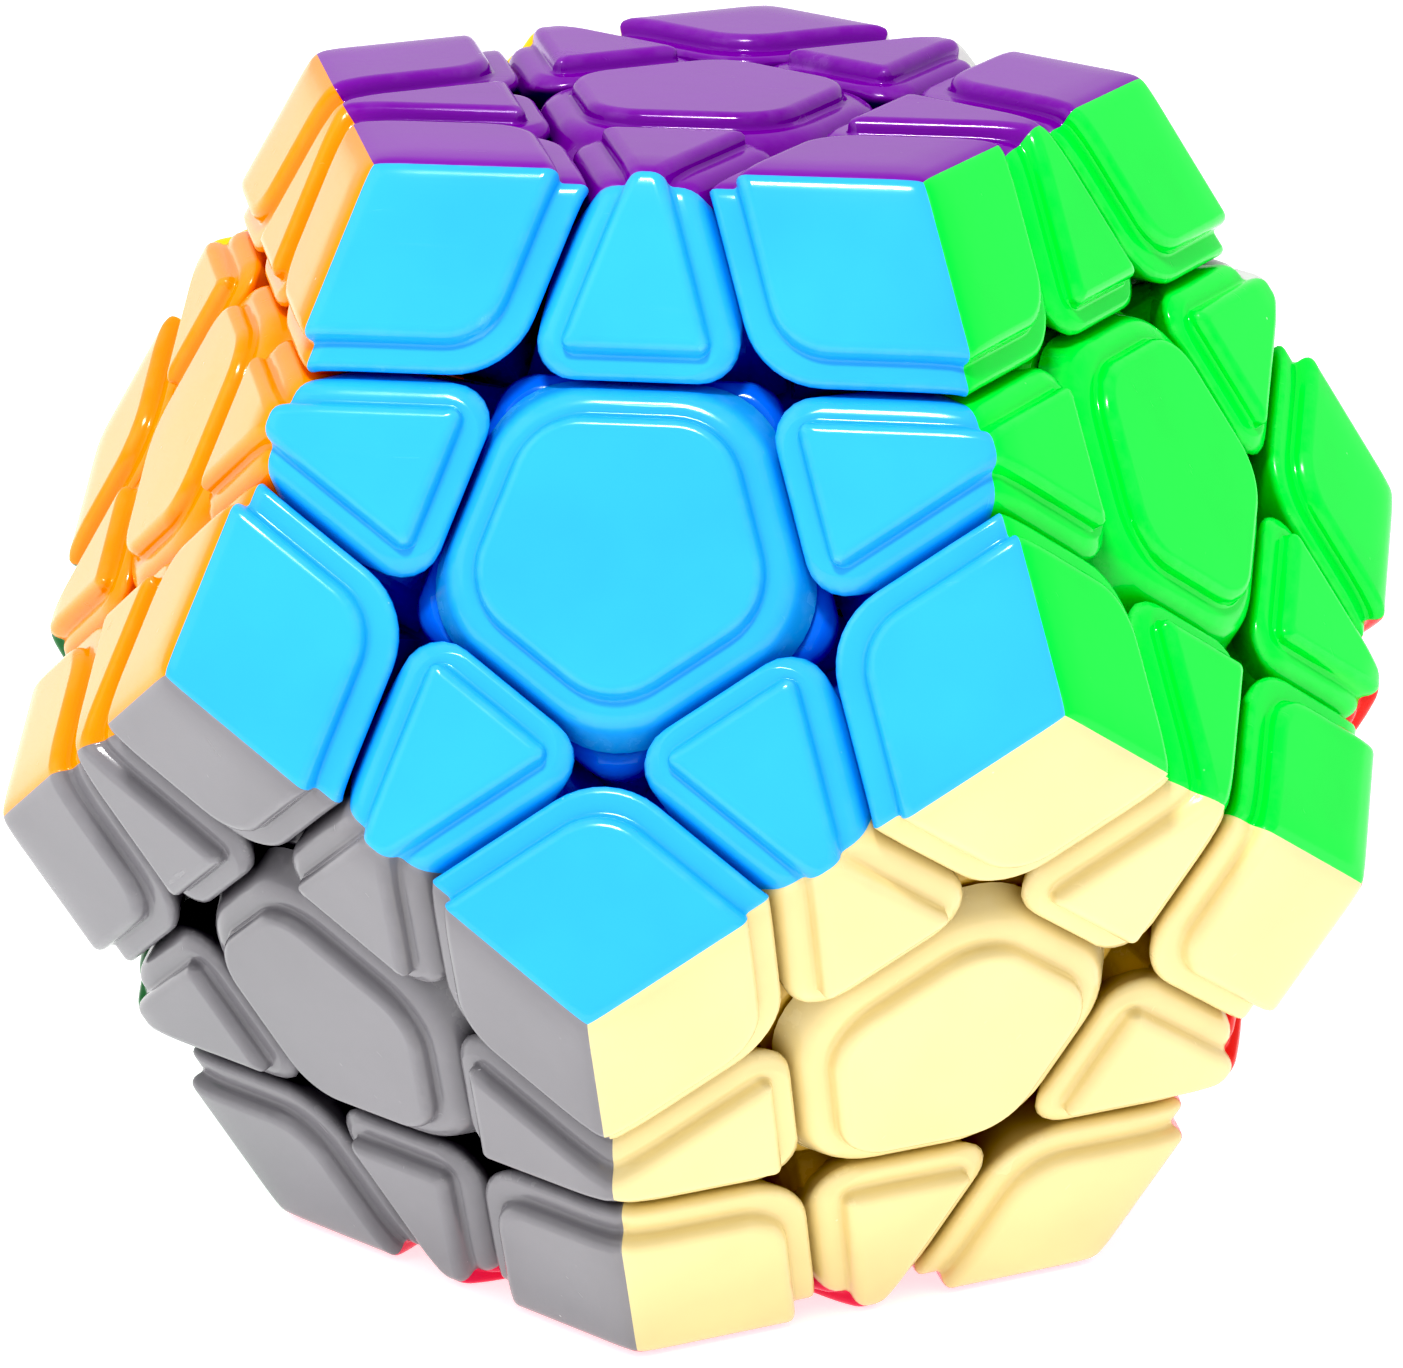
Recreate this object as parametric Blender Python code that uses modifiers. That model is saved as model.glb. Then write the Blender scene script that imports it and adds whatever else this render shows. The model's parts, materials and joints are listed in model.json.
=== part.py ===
"""Dodecahedron twisty puzzle: twelve screwed centres, thirty edges and twenty corners on one core.

Every cut is a surface of revolution about a face axis, so a face's layer turns freely about it:
a flat cut near the outside, then a narrow cone (the necks) and a wide cone (the feet) inside a
sphere. Three layers that share no piece are built to turn: purple (top), grey and red.
The puzzle stands on its pink face, with its centre above the origin and its cyan face towards -Y.
"""
import math

import bmesh
import bpy
from mathutils import Matrix, Vector

MM = 0.001

# Driving dimensions of the outside
EDGE = 30.0 * MM              # one edge of the dodecahedron
CUT_HEIGHT = 22.3 * MM        # distance of every flat cut from the centre of the puzzle
CUT_GAP = 0.40 * MM           # air between two neighbouring pieces
STEP = 0.8 * MM               # height of the raised panel above its tile
LEDGE = 2.0 * MM              # width of the ledge around a corner's panel and along an edge's base
SIDE_LEDGE = 0.8 * MM         # width of the ledge around a centre's panel and beside an edge's
CORNER_ROUND = 5.0 * MM       # rounded inner corner of a corner tile and of a centre tile
PANEL_ROUND = 3.6 * MM        # the same corner of the raised panel
EDGE_ROUND = 2.0 * MM         # rounded base corners of an edge tile
EDGE_PANEL_ROUND = 0.8 * MM   # the same corners of its raised panel
SKIRT_ROUND = 2.4 * MM        # rounded corners of the centre's skirt, below its cap
APEX_TRIM = 1.6 * MM          # how much of a corner block's inner point is cut off

# Driving dimensions of the mechanism
NECK_ANGLE = math.radians(43.5)   # cone that the necks stay inside
FOOT_ANGLE = math.radians(49.0)   # wider cone that the feet stay inside
FOOT_TOP = 27.5 * MM              # sphere between the feet and the shoulders above them
FOOT_BOTTOM = 23.7 * MM           # underside of every foot
STEM_TOP = 33.0 * MM              # how far a stem runs up into its tile
CONE_SIDES = 24

# Driving dimensions of the centres, heights measured from the centre of the puzzle
CAP_BOTTOM = 30.4 * MM
SKIRT_TOP = CAP_BOTTOM - 0.3 * MM
SKIRT_BOTTOM = 27.8 * MM
HUB_RADIUS = 5.5 * MM
HUB_BOTTOM = 17.3 * MM
HUB_FLOOR = 2.0 * MM
WELL_RADIUS = 3.8 * MM
CAP_PLUG_RADIUS = WELL_RADIUS - 0.3 * MM
CAP_PLUG_BOTTOM = CAP_BOTTOM - 1.8 * MM
SCREW_HOLE_RADIUS = 1.9 * MM
SCREW_RADIUS = 1.5 * MM
HEAD_RADIUS = 3.2 * MM
HEAD_BOTTOM = 25.4 * MM
HEAD_TOP = 27.4 * MM
SLOT_WIDTH = 0.8 * MM
SLOT_DEPTH = 1.0 * MM
SCREW_END = 6.5 * MM
SPRING_RADIUS = 2.6 * MM
SPRING_WIRE = 0.35 * MM
SPRING_TURNS = 4
SPRING_BOTTOM = HUB_BOTTOM + HUB_FLOOR + SPRING_WIRE + 0.2 * MM
CORE_RADIUS = 10.5 * MM
POST_RADIUS = 5.0 * MM
POST_TOP = HUB_BOTTOM - 0.3 * MM
ROUND_SIDES = 20
ARM_SIDES = 12
COIL_STEPS = 10               # straight pieces in one turn of the spring

# The dodecahedron that these dimensions give
GOLDEN = (1 + math.sqrt(5)) / 2
FACE_HEIGHT = EDGE * GOLDEN ** 2 / (2 * math.sqrt(3 - GOLDEN))
RING_ELEVATION = math.atan(0.5)
NEIGHBOUR_COSINE = 1 / math.sqrt(5)
FACE_SLOPE = math.sin(math.acos(NEIGHBOUR_COSINE))
TILE_HEIGHT = FACE_HEIGHT - STEP
HALF_GAP = CUT_GAP / 2
LAYER_SIDE = CUT_HEIGHT + HALF_GAP
OUTER_SIDE = CUT_HEIGHT - HALF_GAP
PANEL_INSET = LEDGE * FACE_SLOPE
SIDE_INSET = SIDE_LEDGE * FACE_SLOPE
PUZZLE_CENTRE = Vector((0, 0, FACE_HEIGHT))

UPPER_RING = ("cyan", "lime", "white", "yellow", "orange")
LOWER_RING = ("cream", "red", "blue", "green", "grey")
TURNING_FACES = ("purple", "grey", "red")

# colour, roughness, metallic
FINISHES = {
    "purple": ((0.42, 0.12, 0.62), 0.25, 0.0),
    "pink": ((0.85, 0.13, 0.30), 0.25, 0.0),
    "cyan": ((0.05, 0.62, 0.95), 0.25, 0.0),
    "lime": ((0.04, 0.85, 0.12), 0.25, 0.0),
    "white": ((0.88, 0.88, 0.86), 0.25, 0.0),
    "yellow": ((0.95, 0.80, 0.03), 0.25, 0.0),
    "orange": ((1.00, 0.45, 0.05), 0.25, 0.0),
    "cream": ((0.93, 0.80, 0.42), 0.25, 0.0),
    "red": ((0.85, 0.04, 0.02), 0.25, 0.0),
    "blue": ((0.02, 0.08, 0.55), 0.25, 0.0),
    "green": ((0.01, 0.30, 0.08), 0.25, 0.0),
    "grey": ((0.45, 0.45, 0.48), 0.25, 0.0),
    "core_plastic": ((0.03, 0.03, 0.035), 0.45, 0.0),
    "steel": ((0.62, 0.62, 0.64), 0.30, 1.0),
}


def ring_normal(azimuth, elevation):
    """Unit vector at an azimuth measured from -Y towards +X."""
    flat = math.cos(elevation)
    return Vector((math.sin(azimuth) * flat, -math.cos(azimuth) * flat, math.sin(elevation)))


def face_normals():
    """Outward normal of each of the twelve faces, by colour."""
    normals = {"purple": Vector((0, 0, 1)), "pink": Vector((0, 0, -1))}
    for number in range(5):
        turn = math.radians(72 * number)
        normals[UPPER_RING[number]] = ring_normal(turn, RING_ELEVATION)
        normals[LOWER_RING[number]] = ring_normal(turn + math.radians(36), -RING_ELEVATION)
    return normals


NORMALS = face_normals()


def are_neighbours(first, second):
    return abs(NORMALS[first].dot(NORMALS[second]) - NEIGHBOUR_COSINE) < 1e-4


def neighbours_of(*faces):
    """The faces that touch all the given ones, in the order of NORMALS."""
    others = [face for face in NORMALS if face not in faces]
    return [other for other in others if all(are_neighbours(other, face) for face in faces)]


def edge_faces():
    """The thirty pairs of faces that share an edge."""
    names = list(NORMALS)
    return [(first, second) for place, first in enumerate(names)
            for second in names[place + 1:] if are_neighbours(first, second)]


def corner_faces():
    """The twenty sets of three faces around a corner, each in the same sense of turn."""
    corners = []
    for first, second in edge_faces():
        for third in neighbours_of(first, second):
            if list(NORMALS).index(third) < list(NORMALS).index(second):
                continue
            turn = NORMALS[first].cross(NORMALS[second]).dot(NORMALS[third])
            corners.append((first, second, third) if turn > 0 else (first, third, second))
    return corners


# ---------------------------------------------------------------- mesh tools

def helper_object(name, mesh):
    built = bpy.data.objects.new(name, mesh)
    bpy.context.scene.collection.objects.link(built)
    return built


def mesh_from(bm, name):
    mesh = bpy.data.meshes.new(name)
    bmesh.ops.recalc_face_normals(bm, faces=bm.faces[:])
    bm.to_mesh(mesh)
    bm.free()
    return mesh


def block(name, planes, rounded=(), radius=0.0, segments=2):
    """Convex block of the points below every plane (normal, distance from the centre).

    rounded lists pairs of plane numbers whose shared edge gets the radius."""
    bm = bmesh.new()
    bmesh.ops.create_cube(bm, size=0.2)
    for normal, distance in planes:
        cut = bmesh.ops.bisect_plane(
            bm, geom=bm.verts[:] + bm.edges[:] + bm.faces[:], dist=1e-7,
            plane_co=normal * distance, plane_no=normal, clear_outer=True)
        rim = [item for item in cut["geom_cut"] if isinstance(item, bmesh.types.BMEdge)]
        if rim:
            bmesh.ops.contextual_create(bm, geom=rim)
    bmesh.ops.recalc_face_normals(bm, faces=bm.faces[:])
    if rounded:
        pairs = [(planes[first][0], planes[second][0]) for first, second in rounded]
        shared = [edge for edge in bm.edges if any(lies_between(edge, pair) for pair in pairs)]
        offset = radius * math.tan(pairs[0][0].angle(pairs[0][1]) / 2)
        bmesh.ops.bevel(bm, geom=shared, offset=offset, offset_type="OFFSET",
                        segments=segments, profile=0.5, affect="EDGES", clamp_overlap=True)
    return helper_object(name, mesh_from(bm, name))


def lies_between(edge, sides):
    if len(edge.link_faces) != 2:
        return False
    one, two = (face.normal for face in edge.link_faces)
    near = 1 - 1e-5
    return ((one.dot(sides[0]) > near and two.dot(sides[1]) > near)
            or (one.dot(sides[1]) > near and two.dot(sides[0]) > near))


def towards(axis, built):
    """Turn an object made along +Z so that it points along an axis."""
    built.rotation_euler = axis.to_track_quat("Z", "Y").to_euler()
    return built


def cylinder(name, radius, bottom, top, axis, sides=ROUND_SIDES):
    bm = bmesh.new()
    middle = Matrix.Translation((0, 0, (bottom + top) / 2))
    bmesh.ops.create_cone(bm, cap_ends=True, segments=sides, radius1=radius, radius2=radius,
                          depth=top - bottom, matrix=middle)
    return towards(axis, helper_object(name, mesh_from(bm, name)))


def reach_of_layer(name, axis):
    """The room that stems of one layer may fill: the neck cone above the foot cone."""
    foot_height, foot_width = cone_point(FOOT_ANGLE, FOOT_TOP - HALF_GAP)
    neck_height, neck_width = cone_point(NECK_ANGLE, FOOT_TOP - HALF_GAP)
    top_height, top_width = cone_point(NECK_ANGLE, 2 * STEM_TOP)
    start = HALF_GAP / math.sin(FOOT_ANGLE)
    profile = [(0, top_height), (top_width, top_height), (neck_width, neck_height),
               (foot_width, foot_height), (0, start)]
    mesh = bpy.data.meshes.new(name)
    points = [(width, 0, height) for width, height in profile]
    mesh.from_pydata(points, [(place, place + 1) for place in range(len(points) - 1)], [])
    turned = helper_object(name, mesh)
    screw = turned.modifiers.new("turned", "SCREW")
    screw.steps = CONE_SIDES
    screw.render_steps = CONE_SIDES
    screw.use_merge_vertices = True
    screw.merge_threshold = 1e-5
    return towards(axis, turned)


def cone_point(angle, distance):
    """Height and width of a point on a cone's inner side, half a gap inside the cut."""
    height = distance * math.cos(angle) + HALF_GAP * math.sin(angle)
    width = distance * math.sin(angle) - HALF_GAP * math.cos(angle)
    return height, width


def beside_cone(face, towards_point, angle, clearance=HALF_GAP):
    """Plane that touches a neighbour's cone all along and keeps a piece outside it."""
    axis = NORMALS[face]
    across = (towards_point - axis * towards_point.dot(axis)).normalized()
    away = across * math.cos(angle) - axis * math.sin(angle)
    return (-away, -clearance)


def boolean(built, operation, others):
    """Apply one Boolean after another to an object, and remove the objects used up."""
    for other in others:
        modifier = built.modifiers.new("join", "BOOLEAN")
        modifier.operation = operation
        modifier.solver = "EXACT"
        modifier.object = other
    graph = bpy.context.evaluated_depsgraph_get()
    mesh = bpy.data.meshes.new_from_object(built.evaluated_get(graph))
    built.modifiers.clear()
    built.data = mesh
    for other in others:
        bpy.data.objects.remove(other)
    return built


def finished_mesh(built, name):
    """Merge what the Booleans left, keep the mesh and remove the helper object."""
    bm = bmesh.new()
    bm.from_mesh(built.data)
    bm.transform(built.matrix_basis)
    bmesh.ops.remove_doubles(bm, verts=bm.verts[:], dist=2e-6)
    bmesh.ops.dissolve_limit(bm, angle_limit=math.radians(0.2), verts=bm.verts[:], edges=bm.edges[:])
    bmesh.ops.triangulate(bm, faces=bm.faces[:])
    mesh = mesh_from(bm, name)
    bpy.data.objects.remove(built)
    return mesh


# ---------------------------------------------------------------- the pieces

def corner_mesh(faces):
    """Three-coloured corner: stepped tile block, conical neck and foot."""
    normals = [NORMALS[face] for face in faces]
    outwards = sum(normals, Vector()).normalized()
    inner_edges = [(3, 4), (4, 5), (3, 5)]
    apex = LAYER_SIDE / outwards.dot(normals[0])
    panel_apex = apex + PANEL_INSET / outwards.dot(normals[0])
    tile = block("corner_tile", [(normal, TILE_HEIGHT) for normal in normals]
                 + [(-normal, -LAYER_SIDE) for normal in normals]
                 + [(-outwards, -apex - APEX_TRIM)], inner_edges, CORNER_ROUND)
    panel = block("corner_panel", [(normal, FACE_HEIGHT) for normal in normals]
                  + [(-normal, -LAYER_SIDE - PANEL_INSET) for normal in normals]
                  + [(-outwards, -panel_apex - APEX_TRIM)], inner_edges, PANEL_ROUND)
    stem = block("corner_stem", [(outwards, STEM_TOP), (-outwards, -FOOT_BOTTOM)])
    boolean(stem, "INTERSECT", [reach_of_layer("reach", normal) for normal in normals])
    return finished_mesh(boolean(tile, "UNION", [panel, stem]), "corner")


def edge_mesh(faces):
    """Two-coloured edge: stepped tile block, a neck between the corners' feet, and a foot."""
    normals = [NORMALS[face] for face in faces]
    ends = neighbours_of(*faces)
    outwards = (normals[0] + normals[1]).normalized()
    tile_sides = [beside_cone(end, outwards, NECK_ANGLE, CUT_GAP) for end in ends]
    neck_sides = [beside_cone(end, outwards, NECK_ANGLE) for end in ends]
    foot_sides = [beside_cone(end, outwards, FOOT_ANGLE) for end in ends]
    base_corners = [(2, 4), (2, 5), (3, 4), (3, 5)]
    shoulder = FOOT_TOP + HALF_GAP
    tile = block("edge_tile", [(normal, TILE_HEIGHT) for normal in normals]
                 + [(-normal, -LAYER_SIDE) for normal in normals]
                 + [(NORMALS[end], OUTER_SIDE) for end in ends]
                 + tile_sides + [(-outwards, -shoulder - CUT_GAP)], base_corners, EDGE_ROUND)
    panel = block("edge_panel", [(normal, FACE_HEIGHT) for normal in normals]
                  + [(-normal, -LAYER_SIDE - PANEL_INSET) for normal in normals]
                  + [(NORMALS[end], OUTER_SIDE - SIDE_INSET) for end in ends]
                  + [(-outwards, -shoulder - STEP)], base_corners, EDGE_PANEL_ROUND, 1)
    neck = block("edge_neck", neck_sides + [(NORMALS[end], CUT_HEIGHT - CUT_GAP) for end in ends]
                 + [(outwards, STEM_TOP), (-outwards, -shoulder)])
    foot = block("edge_foot", foot_sides + [(outwards, shoulder + STEP), (-outwards, -FOOT_BOTTOM)])
    for stem in (neck, foot):
        boolean(stem, "INTERSECT", [reach_of_layer("reach", normal) for normal in normals])
    return finished_mesh(boolean(tile, "UNION", [panel, neck, foot]), "edge")


def cap_blocks(face, bottom, skirted=False):
    """The stepped pentagon of one centre: its tile and the raised panel on it."""
    axis = NORMALS[face]
    around = [NORMALS[other] for other in sorted_around(face)]
    sides = [(number, (number + 1) % 5) for number in range(5)]
    under = [beside_cone(other, axis, NECK_ANGLE) for other in sorted_around(face)] if skirted else []
    tile = block("cap_tile", [(normal, OUTER_SIDE) for normal in around]
                 + under + [(axis, TILE_HEIGHT), (-axis, -bottom)], sides, CORNER_ROUND)
    panel = block("cap_panel", [(normal, OUTER_SIDE - SIDE_INSET) for normal in around]
                  + [(axis, FACE_HEIGHT), (-axis, -bottom - STEP)], sides, PANEL_ROUND)
    return tile, panel


def skirt_block(face):
    """The wide plate under a cap, which holds the feet of the five edges around it down."""
    axis = NORMALS[face]
    around = sorted_around(face)
    sides = [(number, (number + 1) % 5) for number in range(5)]
    return block("skirt", [(NORMALS[other], OUTER_SIDE) for other in around]
                 + [beside_cone(other, axis, NECK_ANGLE) for other in around]
                 + [(axis, SKIRT_TOP), (-axis, -SKIRT_BOTTOM)], sides, SKIRT_ROUND)


def sorted_around(face):
    """The five neighbours of a face in order around it."""
    axis = NORMALS[face]
    ring = neighbours_of(face)
    start = (NORMALS[ring[0]] - axis * NORMALS[ring[0]].dot(axis)).normalized()
    side = axis.cross(start)
    return sorted(ring, key=lambda other: math.atan2(NORMALS[other].dot(side), NORMALS[other].dot(start)))


def cap_mesh(face):
    axis = NORMALS[face]
    tile, panel = cap_blocks(face, CAP_BOTTOM)
    plug = cylinder("plug", CAP_PLUG_RADIUS, CAP_PLUG_BOTTOM, CAP_BOTTOM + STEP, axis)
    return finished_mesh(boolean(tile, "UNION", [panel, plug]), "cap")


def base_mesh(face):
    """Skirt and hub of a turning centre, with the well for its spring and screw head."""
    axis = NORMALS[face]
    hub = cylinder("hub", HUB_RADIUS, HUB_BOTTOM, SKIRT_BOTTOM + STEP, axis)
    base = boolean(skirt_block(face), "UNION", [hub])
    well = cylinder("well", WELL_RADIUS, HUB_BOTTOM + HUB_FLOOR, SKIRT_TOP + STEP, axis)
    hole = cylinder("hole", SCREW_HOLE_RADIUS, HUB_BOTTOM - STEP, HUB_BOTTOM + HUB_FLOOR + STEP, axis)
    return finished_mesh(boolean(base, "DIFFERENCE", [well, hole]), "base")


def spring_object():
    """Round-wire coil around +Z, from the hub's floor up to the screw's head."""
    count = SPRING_TURNS * COIL_STEPS
    rise = HEAD_BOTTOM - SPRING_BOTTOM
    curve = bpy.data.curves.new("spring", "CURVE")
    curve.dimensions = "3D"
    spline = curve.splines.new("POLY")
    spline.points.add(count)
    for number in range(count + 1):
        turn = math.tau * number / COIL_STEPS
        height = SPRING_BOTTOM + rise * number / count
        spline.points[number].co = (SPRING_RADIUS * math.cos(turn), SPRING_RADIUS * math.sin(turn),
                                    height, 1)
    curve.bevel_depth = SPRING_WIRE
    curve.bevel_resolution = 0
    curve.use_fill_caps = True
    drawn = helper_object("spring_curve", curve)
    graph = bpy.context.evaluated_depsgraph_get()
    mesh = bpy.data.meshes.new_from_object(drawn.evaluated_get(graph))
    bpy.data.objects.remove(drawn)
    return helper_object("spring", mesh)


def screw_mesh():
    """Tension screw along +Z with its spring, whose last turn bears on the head."""
    up = Vector((0, 0, 1))
    head = cylinder("head", HEAD_RADIUS, HEAD_BOTTOM, HEAD_TOP, up)
    shank = cylinder("shank", SCREW_RADIUS, SCREW_END, HEAD_BOTTOM + STEP, up, ARM_SIDES)
    boolean(head, "UNION", [shank, spring_object()])
    slots = []
    for turn in (0, 90):
        bm = bmesh.new()
        size = Matrix.Diagonal((2 * HEAD_RADIUS * 0.62, SLOT_WIDTH, 2 * SLOT_DEPTH, 1))
        place = Matrix.Translation((0, 0, HEAD_TOP)) @ Matrix.Rotation(math.radians(turn), 4, "Z")
        bmesh.ops.create_cube(bm, size=1, matrix=place @ size)
        slots.append(helper_object("slot", mesh_from(bm, "slot")))
    return finished_mesh(boolean(head, "DIFFERENCE", slots), "screw")


def core_mesh():
    """The twelve-armed core; nine arms carry their centres, three are bored for a screw."""
    bm = bmesh.new()
    bmesh.ops.create_icosphere(bm, subdivisions=2, radius=CORE_RADIUS)
    ball = helper_object("ball", mesh_from(bm, "ball"))
    arms = []
    bores = []
    for face, axis in NORMALS.items():
        arms.append(cylinder("post", POST_RADIUS, STEP, POST_TOP, axis, ARM_SIDES))
        if face in TURNING_FACES:
            bores.append(cylinder("bore", SCREW_HOLE_RADIUS, SCREW_END - STEP, POST_TOP + STEP, axis,
                                  ARM_SIDES))
            continue
        arms.append(cylinder("hub", HUB_RADIUS, POST_TOP - STEP, SKIRT_BOTTOM + STEP, axis, ARM_SIDES))
        arms.extend(cap_blocks(face, SKIRT_BOTTOM, skirted=True))
    core = boolean(ball, "UNION", arms)
    return finished_mesh(boolean(core, "DIFFERENCE", bores), "core")


# ---------------------------------------------------------------- the assembly

def make_materials():
    materials = {}
    for name, (colour, roughness, metallic) in FINISHES.items():
        material = bpy.data.materials.new(name)
        material.use_nodes = True
        shader = material.node_tree.nodes["Principled BSDF"]
        shader.inputs["Base Color"].default_value = (*colour, 1)
        shader.inputs["Roughness"].default_value = roughness
        shader.inputs["Metallic"].default_value = metallic
        material.diffuse_color = (*colour, 1)
        materials[name] = material
    return materials


def directions(faces):
    """Three independent directions of a piece, as the columns of a matrix."""
    first, second = NORMALS[faces[0]], NORMALS[faces[1]]
    third = NORMALS[faces[2]] if len(faces) > 2 else first.cross(second)
    return Matrix((first, second, third)).transposed()


def turn_between(master, faces):
    """The rotation that takes the master piece to the piece of the given faces."""
    return (directions(faces) @ directions(master).inverted()).to_quaternion().to_matrix().to_4x4()


class Assembly:
    """Places the pieces, each with its origin on the layers' common centre."""

    def __init__(self):
        self.collection = bpy.data.collections.new("twisty_puzzle")
        bpy.context.scene.collection.children.link(self.collection)
        self.materials = make_materials()
        self.pivots = {face: self.add_pivot(face) for face in TURNING_FACES}

    def add_pivot(self, face):
        pivot = bpy.data.objects.new(f"{face}_layer_pivot", None)
        pivot.empty_display_size = EDGE
        pivot.location = PUZZLE_CENTRE
        self.collection.objects.link(pivot)
        return pivot

    def add(self, name, mesh, material, turn=None, layer=None):
        placed = bpy.data.objects.new(name, mesh)
        self.collection.objects.link(placed)
        if not mesh.materials:
            mesh.materials.append(None)
        placed.material_slots[0].link = "OBJECT"
        placed.material_slots[0].material = self.materials[material]
        turn = turn or Matrix.Identity(4)
        if layer:
            placed.parent = self.pivots[layer]
            placed.rotation_euler = turn.to_euler()
        else:
            placed.matrix_world = Matrix.Translation(PUZZLE_CENTRE) @ turn
        return placed


def layer_of(faces):
    """The turning layer that holds a piece, if one does."""
    return next((face for face in faces if face in TURNING_FACES), None)


def build():
    for old in list(bpy.data.objects):
        bpy.data.objects.remove(old)
    corners = corner_faces()
    edges = edge_faces()
    shared_corner = corner_mesh(corners[0])
    shared_edge = edge_mesh(edges[0])
    shared_screw = screw_mesh()
    core = core_mesh()
    centre_meshes = {face: (cap_mesh(face), base_mesh(face)) for face in TURNING_FACES}

    assembly = Assembly()
    assembly.add("core_with_fixed_centres", core, "core_plastic")
    for face, (cap, base) in centre_meshes.items():
        upright = NORMALS[face].to_track_quat("Z", "Y").to_matrix().to_4x4()
        assembly.add(f"centre_cap_{face}", cap, face, layer=face)
        assembly.add(f"centre_base_{face}", base, face, layer=face)
        assembly.add(f"tension_screw_{face}", shared_screw, "steel", turn=upright)
    for faces in edges:
        assembly.add("edge_" + "_".join(faces), shared_edge, faces[0],
                     turn_between(edges[0], faces), layer_of(faces))
    for faces in corners:
        assembly.add("corner_" + "_".join(faces), shared_corner, faces[0],
                     turn_between(corners[0], faces), layer_of(faces))


build()
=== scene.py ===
import json
import math

import bmesh
import bpy
import numpy as np
from mathutils import Matrix, Vector


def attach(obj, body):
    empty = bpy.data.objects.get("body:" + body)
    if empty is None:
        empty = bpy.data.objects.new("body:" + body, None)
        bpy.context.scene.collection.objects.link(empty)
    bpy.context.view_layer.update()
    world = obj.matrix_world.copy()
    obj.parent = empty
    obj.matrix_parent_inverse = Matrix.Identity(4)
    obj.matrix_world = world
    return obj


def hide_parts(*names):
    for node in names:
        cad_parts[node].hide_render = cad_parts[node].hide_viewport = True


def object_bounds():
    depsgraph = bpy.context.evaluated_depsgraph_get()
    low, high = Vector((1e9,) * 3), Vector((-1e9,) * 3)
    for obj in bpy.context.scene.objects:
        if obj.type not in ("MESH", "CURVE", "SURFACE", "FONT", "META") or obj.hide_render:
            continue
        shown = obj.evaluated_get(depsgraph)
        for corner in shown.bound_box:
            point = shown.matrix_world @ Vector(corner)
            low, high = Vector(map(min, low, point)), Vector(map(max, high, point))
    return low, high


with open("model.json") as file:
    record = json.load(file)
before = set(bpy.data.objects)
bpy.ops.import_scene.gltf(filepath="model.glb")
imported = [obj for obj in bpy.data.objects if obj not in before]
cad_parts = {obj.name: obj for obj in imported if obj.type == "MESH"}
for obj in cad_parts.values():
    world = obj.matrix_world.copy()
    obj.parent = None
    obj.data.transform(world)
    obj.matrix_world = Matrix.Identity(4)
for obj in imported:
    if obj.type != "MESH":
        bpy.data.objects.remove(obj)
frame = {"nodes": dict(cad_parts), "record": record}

CAD_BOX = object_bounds()
MM = 0.001

# ---------------------------------------------------------------- sizes, in millimetres
FACE_HEIGHT = (CAD_BOX[1].z - CAD_BOX[0].z) / 2 / MM   # centre of the puzzle to a face
CUT_HEIGHT = 22.3        # centre of the puzzle to every flat cut
HALF_GAP = 0.2           # half the air between two neighbours
CAP_BOTTOM = -3.0        # underside of a centre cap, measured from its face
SKIRT_TOP = -3.3
SKIRT_BOTTOM = -5.6
SKIRT_PLAN = 2.4         # radius of the skirt's corners
SKIRT_ROUND = 0.7        # rounding along the skirt's top edge
SKIRT_BEVEL = 0.2        # rounding along its bottom edge
HUB_RADIUS = 5.5
HUB_BOTTOM = 17.3 - FACE_HEIGHT
HUB_FLOOR = 19.3 - FACE_HEIGHT
WELL_RADIUS = 3.8
HOLE_RADIUS = 1.9

# The mechanism, from the centre of the puzzle
FOOT_BOTTOM = 23.9
FOOT_TOP = 27.3
SHOULDER = FOOT_TOP + 2 * HALF_GAP   # overhangs start here, clear of the feet that pass below
FOOT_ANGLE = math.radians(49.0)
NECK_ANGLE = math.radians(43.5)
CORNER_STEM_TOP = 31.5
EDGE_STEM_TOP = 34.4
CORE_RADIUS = 10.5
POST_RADIUS = 5.0
POST_TOP = 17.0
POST_BEVEL = 0.4
POST_FLARE = 0.8         # how much wider an arm gets where it meets the ball
SCREW_END = 6.5
FOOT_ROUND = 0.4         # rounding of a foot's edges
FOOT_BEVEL = 0.12

# Tile profile: lower tier, step and raised panel. Insets run inward from the cut at the face.
STEP = 0.95
STEP_DRAFT = 0.15        # how far the step leans in from bottom to top
RIM_REACH = 0.75         # how far each rounding reaches from its corner
GROOVE_REACH = 0.25
PANEL_REACH = 0.55
CORNER_LEDGE = 2.3       # inset of the groove at the foot of the step
EDGE_LEDGE = 2.1         # along the base of an edge tile
EDGE_SIDE_LEDGE = 0.7    # along its two slanting sides, at the base
CENTRE_LEDGE = 0.8       # all round a centre tile

# Rounding over the ridges: a tight radius, blended with a little of a wide one
RIDGE_ROUND = 1.3
RIDGE_CROWN = 4.5
CROWN_SHARE = 0.3

# Plan corners: radius at the cut and at the foot of the step
CORNER_PLAN = (5.0, 3.6)
EDGE_PLAN = (2.1, 0.7)
CENTRE_PLAN = (5.3, 4.0)

# ---------------------------------------------------------------- the dodecahedron
COS_SIDE = 1 / math.sqrt(5)                    # cosine between two neighbouring face normals
SIN_SIDE = 2 / math.sqrt(5)
RIDGE_SHARE = (1 - COS_SIDE) / SIN_SIDE        # ridge distance on a face over its height
RING_ELEVATION = math.atan(0.5)
CENTRE = Vector((0, 0, FACE_HEIGHT * MM))
UPPER_RING = ("cyan", "lime", "white", "yellow", "orange")
LOWER_RING = ("cream", "red", "blue", "green", "grey")


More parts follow.
